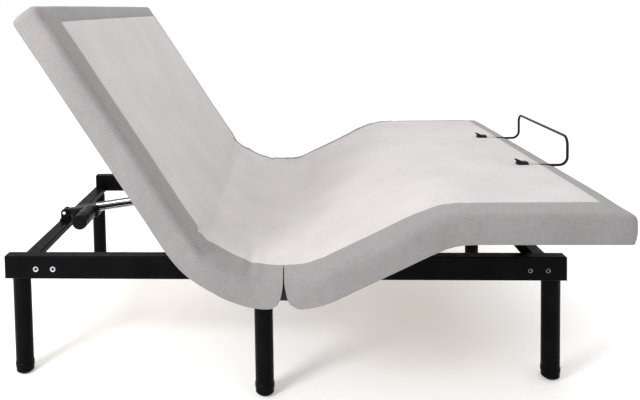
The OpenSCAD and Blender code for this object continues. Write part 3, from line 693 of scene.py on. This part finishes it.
def plywoodBoard(name, node, k):
    # chamfered along its upper side edges and wrapped in felt there, where the cover folds over it
    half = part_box(node)[1].y
    thick = (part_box("seat_board")[1].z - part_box("seat_board")[0].z) / 2
    start = stops[k] + (boards["end"] if k == 0 else boards["gap"])
    end = stops[k + 1] - (boards["end"] if k == 4 else boards["gap"])
    bm = bmesh.new()
    made = bmesh.ops.create_cube(bm, size=1)["verts"]
    bmesh.ops.scale(bm, vec=(end - start, 2 * half, 2 * thick), verts=made)
    bmesh.ops.translate(bm, vec=((start + end) / 2, 0, 0), verts=made)
    upper = [e for e in bm.edges if all(v.co.z > 0 for v in e.verts)]
    long = [e for e in upper if abs(e.verts[0].co.x - e.verts[1].co.x) > 0.01]
    bmesh.ops.bevel(bm, geom=long, offset=boards["chamfer"], segments=1, profile=0.5, affect="EDGES",
                    material=-1)
    bmesh.ops.bevel(bm, geom=bm.edges[:], offset=boards["radius"], segments=2, profile=0.5, affect="EDGES",
                    material=-1)
    wrapped = seamY - boards["wrap"]
    for y in (-wrapped, wrapped):
        cutAcross(bm, 1, y)
    for f in bm.faces:
        f.material_index = 1 if abs(f.calc_center_median().y) > wrapped else 0
    ahead = Vector((math.cos(slopes[k]), 0, math.sin(slopes[k])))
    upward = Vector((-ahead.z, 0, ahead.x))
    for v in bm.verts:
        place = Vector((corners[k].x, v.co.y, corners[k].y))
        v.co = place + ahead * (v.co.x - stops[k]) + upward * v.co.z
    replacing(name, bm, [ply, lining], [node])


for boardAt, boardEnd in enumerate(("head", "lumbar", "seat", "thigh", "foot")):
    plywoodBoard(boardEnd + "Ply", boardEnd + "_board", boardAt)

# dark strips behind the split in the cover
liner = {"reach": 0.032, "thickness": 0.005, "top": 0.004, "drop": 0.040, "inset": 0.001, "radius": 0.0015}


def splitLiner():
    bm = bmesh.new()
    out = deckHalf - cover["wall"] - liner["inset"]
    for side in (-1, 1):
        a, b = sorted((side * out, side * (out - liner["thickness"])))
        low = onDeck(splitAt["start"] - liner["reach"], a, -liner["drop"])
        high = onDeck(splitAt["start"] + liner["reach"], b, liner["top"])
        roundedBox(bm, low, high, liner["radius"], 2)
    finishMesh("splitLiner", bm, [lining], None, "base")


splitLiner()

rails = {"radius": 0.0035, "capThickness": 0.0045, "capRadius": 0.00192, "crossRadius": 0.003}


def steelFrame():
    for name, node in (("sideRailRight", "side_rail_right"), ("sideRailLeft", "side_rail_left")):
        bm = bmesh.new()
        low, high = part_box(node)
        roundedBox(bm, low, high, rails["radius"])
        replacing(name, bm, [satinBlack], [node])
    bm = bmesh.new()
    for low, high in solidsOf("rail_end_caps"):
        if low.x < 0:
            high = Vector((low.x + rails["capThickness"], high.y, high.z))
        else:
            low = Vector((high.x - rails["capThickness"], low.y, low.z))
        roundedBox(bm, low, high, rails["capRadius"])
    replacing("railEndCaps", bm, [blackPlastic], ["rail_end_caps"])
    for name, node in (("headCrossmember", "head_crossmember"), ("footCrossmember", "foot_crossmember"),
                       ("seatCrossmembers", "seat_crossmembers")):
        bm = bmesh.new()
        for low, high in solidsOf(node):
            roundedBox(bm, low, high, rails["crossRadius"])
        replacing(name, bm, [satinBlack], [node])
    print("frame made")


legs = {
    "collarLow": 0.023, "collarTop": 0.038, "collarStep": 0.0015, "lowEase": 0.001, "topEase": 0.002,
    "chamfer": 0.003, "topChamfer": 0.001, "stud": 0.005,
}


def turnedLeg(name, node):
    low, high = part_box(node)
    wide = (high.x - low.x) / 2
    slim = wide - legs["collarStep"]
    top = high.z - legs["stud"]
    foot, cap = legs["chamfer"], legs["topChamfer"]
    outline = [(0, low.z), (slim - foot, low.z), (slim, low.z + foot),
               (slim, legs["collarLow"] - legs["lowEase"]), (wide, legs["collarLow"] + legs["lowEase"]),
               (wide, legs["collarTop"] - legs["topEase"]), (slim, legs["collarTop"]),
               (slim, top - cap), (slim - cap, top), (0, top)]
    bm = bmesh.new()
    spun(bm, outline, ((low.x + high.x) / 2, (low.y + high.y) / 2, 0), "Z", 40)
    replacing(name, bm, [legBlack], [node])


bolt = {
    "socket": 0.0046, "floor": 0.0012, "lip": 0.0032, "crown": (0.0056, 0.0040),
    "shoulder": (0.0082, 0.0034), "rim": (0.0090, 0.0018),
    # band of bright zinc on the black heads' crown: a painted highlight
    "crownHighlightRing": [(0.0050, 0.0037), (0.0056, 0.0041), (0.0058, 0.0040)],
}


def boltHeads():
    # round heads with a hexagon socket; the ones at the foot end are black, with a band of bright zinc on
    # the crown as a painted highlight
    bm = bmesh.new()
    socket, floor = bolt["socket"], bolt["floor"]
    dome = [(socket, floor), (socket, bolt["lip"]), bolt["crown"], bolt["shoulder"], bolt["rim"],
            (bolt["rim"][0], 0)]
    for low, high in solidsOf("frame_bolts"):
        onRight = low.y < 0
        seat = high.y if onRight else low.y
        centre = ((low.x + high.x) / 2, seat, (low.z + high.z) / 2)
        axis = "-Y" if onRight else "Y"
        dark = low.x > 0
        for f in spun(bm, dome, centre, axis, 28):
            f.material_index = 1 if dark else 0
        for f in spun(bm, [(0, floor), (socket, floor)], centre, axis, 6):
            f.material_index = 1
        # painted highlight: a bright zinc band on the crown of the black heads
        if dark:
            for f in spun(bm, bolt["crownHighlightRing"], centre, axis, 28):
                f.material_index = 0
    replacing("boltHeads", bm, [zincPlate, blackPlastic], ["frame_bolts"])


steelFrame()
for legEnd in ("head", "middle", "foot"):
    for legSide in ("right", "left"):
        turnedLeg("leg" + legEnd.capitalize() + legSide.capitalize(), "leg_" + legEnd + "_" + legSide)
boltHeads()
print("legs and bolts made")

drive = {
    "eyeRadius": 0.013, "eyeHalf": 0.011, "eyeBore": 0.006, "eyeChamfer": 0.001, "neckStart": 0.008,
    "neckInto": 0.004, "neckRadius": 0.0025, "gearStart": 0.034, "gearLength": 0.100, "gearHalf": 0.030,
    "gearUp": 0.012, "gearDown": 0.032, "gearRadius": 0.006, "flange": 0.0012, "flangeLow": -0.011,
    "flangeHigh": -0.008, "flangeRadius": 0.001, "channelHalf": 0.0155, "channelRadius": 0.005,
    "channelInto": 0.01, "ringLength": 0.018, "ringHalf": 0.0165, "ringOver": 0.002, "ringRadius": 0.005,
    "stripRise": 0.0012, "stripHalf": 0.0012, "stripAt": 0.0065, "stripRadius": 0.0005,
}


def driveFrame(end):
    pins = solidsOf("actuator_rear_pins")
    low, high = pins[0] if end == "head" else pins[-1]
    along = Vector(jointOf[end + "_rod_slide"]["axis"]).normalized()
    upward = along.cross(Vector((0, 1, 0)))
    if upward.z < 0:
        upward = -upward
    place = Matrix((along, Vector((0, 1, 0)), upward)).transposed().to_4x4()
    return Matrix.Translation((low + high) / 2) @ place, (low + high) / 2, along


def driveBody(end):
    # rear eye, gear housing with its flange, and the aluminium channel with a black ring at its mouth
    node = end + "_drive_housing"
    place, origin, along = driveFrame(end)
    obj = frame["nodes"][node]
    reach = max((obj.matrix_world @ v.co - origin).dot(along) for v in obj.data.vertices)
    mouth = reach - drive["ringLength"]
    bm = bmesh.new()
    half, eye, ease = drive["eyeHalf"], drive["eyeRadius"], drive["eyeChamfer"]
    gearStart, gearEnd = drive["gearStart"], drive["gearStart"] + drive["gearLength"]
    outline = [(drive["eyeBore"], -half), (eye - ease, -half), (eye, -half + ease), (eye, half - ease),
               (eye - ease, half), (drive["eyeBore"], half)]
    black = set(spun(bm, outline, (0, 0, 0), "Y", 32))
    black |= roundedBox(bm, (drive["neckStart"], -half, -half), (gearStart + drive["neckInto"], half, half),
                        drive["neckRadius"])
    wide, flange = drive["gearHalf"], drive["flange"]
    black |= roundedBox(bm, (gearStart, -wide, -drive["gearDown"]), (gearEnd, wide, drive["gearUp"]),
                        drive["gearRadius"])
    black |= roundedBox(bm, (gearStart - flange, -wide - flange, drive["flangeLow"]),
                        (gearEnd + flange, wide + flange, drive["flangeHigh"]), drive["flangeRadius"], 2)
    slim = drive["channelHalf"]
    bright = set(roundedBox(bm, (gearEnd - drive["channelInto"], -slim, -slim),
                            (mouth + drive["ringOver"], slim, slim), drive["channelRadius"], 4))
    # raised strips along the channel's sides
    for side in (-1, 1):
        near, far = sorted((side * slim, side * (slim + drive["stripRise"])))
        for z in (-drive["stripAt"], drive["stripAt"]):
            bright |= roundedBox(bm, (gearEnd, near, z - drive["stripHalf"]),
                                 (mouth, far, z + drive["stripHalf"]), drive["stripRadius"], 2)
    ring = drive["ringHalf"]
    black |= roundedBox(bm, (mouth, -ring, -ring), (reach, ring, ring), drive["ringRadius"], 4)
    for face in black:
        face.material_index = 0
    for face in bright:
        face.material_index = 1
    bmesh.ops.transform(bm, matrix=place, verts=bm.verts)
    bmesh.ops.recalc_face_normals(bm, faces=bm.faces)
    replacing(end + "DriveBody", bm, [motorBlack, castAluminium], [node])


motor = {
    "grow": 0.002, "lidStep": 0.0015, "lidAt": 0.008, "lidEase": 0.0005, "chamfer": 0.002,
    "grooves": 4, "grooveAt": 0.70, "groovePitch": 0.05, "grooveDepth": 0.0008, "grooveHalf": 0.0015,
    "grooveFloor": 0.0008, "hubRadius": 0.009, "hubStep": 0.001,
}


def driveMotor(end):
    # plain round can with a ring of grooves and a stepped lid
    low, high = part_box(end + "_motor")
    radius = (high.z - low.z) / 2 + motor["grow"]
    length = high.y - low.y
    outline = [(0, 0), (radius, 0)]
    for i in range(motor["grooves"]):
        at = length * (motor["grooveAt"] + motor["groovePitch"] * i)
        deep = radius - motor["grooveDepth"]
        outline += [(radius, at - motor["grooveHalf"]), (deep, at - motor["grooveFloor"]),
                    (deep, at + motor["grooveFloor"]), (radius, at + motor["grooveHalf"])]
    lid, c = radius - motor["lidStep"], motor["chamfer"]
    hub, step = motor["hubRadius"], motor["hubStep"]
    outline += [(radius, length - motor["lidAt"]), (lid, length - motor["lidAt"] + motor["lidEase"]),
                (lid, length - c), (lid - c, length), (hub, length), (hub - step, length - step),
                (0, length - step)]
    bm = bmesh.new()
    spun(bm, outline, ((low.x + high.x) / 2, high.y, (low.z + high.z) / 2), "-Y", 44)
    replacing(end + "MotorBody", bm, [motorBlack], [end + "_motor"])


for driveEnd in ("head", "foot"):
    driveBody(driveEnd)
    driveMotor(driveEnd)
print("actuators made")

# clips that hold the retainer bar
clip = {
    "plate": 0.003, "grow": 0.007, "side": 0.002, "plateRadius": 0.0012, "housingHalf": 0.013,
    "housingStart": 0.002, "housingShort": 0.004, "housingLow": 0.001, "housingRise": 0.019,
    "housingRadius": 0.005, "leverBack": 0.017, "leverAhead": 0.010, "leverHalf": 0.009, "leverThick": 0.003,
    "leverRadius": 0.0015, "leverAt": 0.010, "leverTilt": 0.42, "screwIn": 0.004,
    "screw": [(0.0028, 0), (0.0028, 0.0008), (0.0018, 0.0014), (0, 0.0014)],
}


def clipLever(bm, place):
    before = set(bm.verts)
    half, thick = clip["leverHalf"], clip["leverThick"]
    roundedBox(bm, (-clip["leverBack"], -half, -thick), (clip["leverAhead"], half, thick),
               clip["leverRadius"], 2)
    lever = [v for v in bm.verts if v not in before]
    turn = Matrix.Translation(place) @ Matrix.Rotation(clip["leverTilt"], 4, "Y")
    bmesh.ops.transform(bm, matrix=turn, verts=lever)


def retainerClips():
    # a screwed base plate, a rounded housing and a tilted lever for each clip
    bm = bmesh.new()
    for low, high in solidsOf("retainer_clips"):
        base, middleY = low.z, (low.y + high.y) / 2
        grow, side, half = clip["grow"], clip["side"], clip["housingHalf"]
        roundedBox(bm, (low.x - grow, low.y - side, base),
                   (high.x + grow, high.y + side, base + clip["plate"]), clip["plateRadius"], 2)
        roundedBox(bm, (low.x - clip["housingStart"], middleY - half, base + clip["housingLow"]),
                   (high.x - clip["housingShort"], middleY + half, base + clip["housingRise"]),
                   clip["housingRadius"], 4)
        clipLever(bm, (low.x + clip["leverAt"], middleY, base + clip["housingRise"]))
        for x in (low.x - grow * 0.2, high.x + grow * 0.3):
            for y in (low.y + clip["screwIn"], high.y - clip["screwIn"]):
                spun(bm, clip["screw"], (x, y, base + clip["plate"]), "Z", 16)
    replacing("retainerClips", bm, [blackPlastic], ["retainer_clips"])


retainerClips()

finishOf = {
    "powder_coat": satinBlack, "gloss_leg": legBlack, "black_plastic": blackPlastic,
    "glide_plastic": glidePlastic, "zinc": zincPlate, "bright_steel": turnedSteel,
    "drive_aluminium": castAluminium, "motor_black": motorBlack, "plywood": ply,
    "light_fabric": paleCloth, "grey_fabric": greyCloth, "nylon": whiteNylon, "bar_black": barBlack,
}
for part in frame["record"]["subparts"]:
    obj = frame["nodes"][part["node"]]
    obj.data.materials.clear()
    obj.data.materials.append(finishOf[part["material_slot"]])
print("CAD pieces finished")

camera = bpy.data.objects.new("camera", bpy.data.cameras.new("camera"))
bpy.context.scene.collection.objects.link(camera)
view = {
    "yaw": -3.2, "down": 3.08, "roll": -1.08, "fromRailMiddle": 0.0330, "back": 2.4876, "height": 1.16553,
    "lens": 37.125, "shiftX": 0.1098, "shiftY": -0.243,
}
yaw, down, roll = (math.radians(view[k]) for k in ("yaw", "down", "roll"))
forward = Vector((math.cos(down) * math.sin(yaw), math.cos(down) * math.cos(yaw), -math.sin(down)))
right = Vector((math.cos(yaw), -math.sin(yaw), 0))
up = Vector((math.sin(down) * math.sin(yaw), math.sin(down) * math.cos(yaw), math.cos(down)))
rolledRight = right * math.cos(roll) + up * math.sin(roll)
rolledUp = up * math.cos(roll) - right * math.sin(roll)
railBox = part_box("side_rail_right")
cameraPlace = ((railBox[0].x + railBox[1].x) / 2 + view["fromRailMiddle"], -view["back"], view["height"])
cameraTurn = Matrix((rolledRight, rolledUp, -forward)).transposed().to_4x4()
camera.matrix_world = Matrix.Translation(cameraPlace) @ cameraTurn
camera.data.lens = view["lens"]
camera.data.sensor_width = 36
camera.data.shift_x, camera.data.shift_y = view["shiftX"], view["shiftY"]
camera.data.clip_start, camera.data.clip_end = 0.05, 60
bpy.context.scene.camera = camera


floorLook = {"half": 14, "pale": (0.9, 0.9, 0.9), "dark": (0.86, 0.86, 0.86), "specular": 0.1, "glow": 0.2}


def paleFloor():
    bm = bmesh.new()
    bmesh.ops.create_grid(bm, x_segments=1, y_segments=1, size=floorLook["half"])
    mat, tree, bsdf = newMaterial("paleFloor")
    cloud = noiseAt(tree, objectPoint(tree), 2.0, 3)
    tree.links.new(mixColours(tree, cloud, floorLook["dark"], floorLook["pale"]), bsdf.inputs["Base Color"])
    bsdf.inputs["Roughness"].default_value = 0.9
    bsdf.inputs["Specular IOR Level"].default_value = floorLook["specular"]
    bsdf.inputs["Emission Color"].default_value = (1, 1, 1, 1)
    bsdf.inputs["Emission Strength"].default_value = floorLook["glow"]
    floor = finishMesh("floor", bm, [mat])


lamps = {
    "leftLight": {"place": (-1.9, -2.3, 1.7), "target": (-0.72, -0.76, 1.0),
                  "size": (0.8, 0.8), "power": 66},
    "topLight": {"place": (-0.2, 0.2, 4.4), "target": (0, 0, 0.4),
                 "size": (5.0, 4.0), "power": 52},
}


def softLight(name, place, target, size, power):
    data = bpy.data.lights.new(name, "AREA")
    data.shape, data.size, data.size_y = "RECTANGLE", size[0], size[1]
    data.energy = power
    obj = bpy.data.objects.new(name, data)
    bpy.context.scene.collection.objects.link(obj)
    obj.location = place
    obj.rotation_euler = (Vector(target) - Vector(place)).to_track_quat("-Z", "Y").to_euler()


paleFloor()
for lampName, lamp in lamps.items():
    softLight(lampName, **lamp)
world = bpy.data.worlds.new("studio")
bpy.context.scene.world = world
world.use_nodes = True
world.node_tree.nodes["Background"].inputs["Color"].default_value = (1, 1, 1, 1)
world.node_tree.nodes["Background"].inputs["Strength"].default_value = 1.0
bpy.context.scene.view_settings.view_transform = "Standard"
print("stage made")
